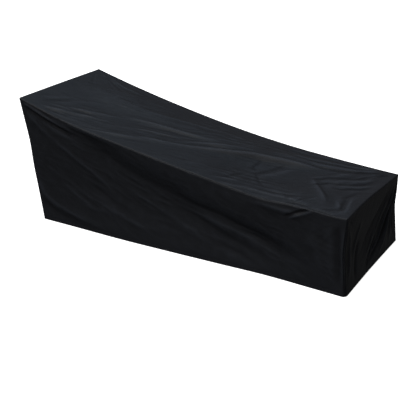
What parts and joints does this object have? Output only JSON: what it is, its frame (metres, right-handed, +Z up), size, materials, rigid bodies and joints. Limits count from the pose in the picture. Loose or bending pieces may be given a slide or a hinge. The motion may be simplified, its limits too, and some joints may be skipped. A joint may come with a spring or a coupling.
{
  "type": "lounge chair cover",
  "caption": "Fitted cloth cover for a long lounge chair: sagging top, tapering sides, tall leaning head end, short foot end, hollow and open below.",
  "frame": {"origin": "on the floor under the middle of the cover, where the hem lies", "axes": "+X from the tall head end to the low foot end, +Z up, -Y towards the side that faces the camera"},
  "size_m": [2.1295, 0.8324, 0.7614],
  "materials": {
    "cover_cloth": "black coated woven polyester with a soft sheen"
  },
  "bodies": {
    "root": {"top_panel": "cover_cloth", "side_panel_near": "cover_cloth", "side_panel_far": "cover_cloth", "head_panel": "cover_cloth", "foot_panel": "cover_cloth"}
  },
  "joints": []
}
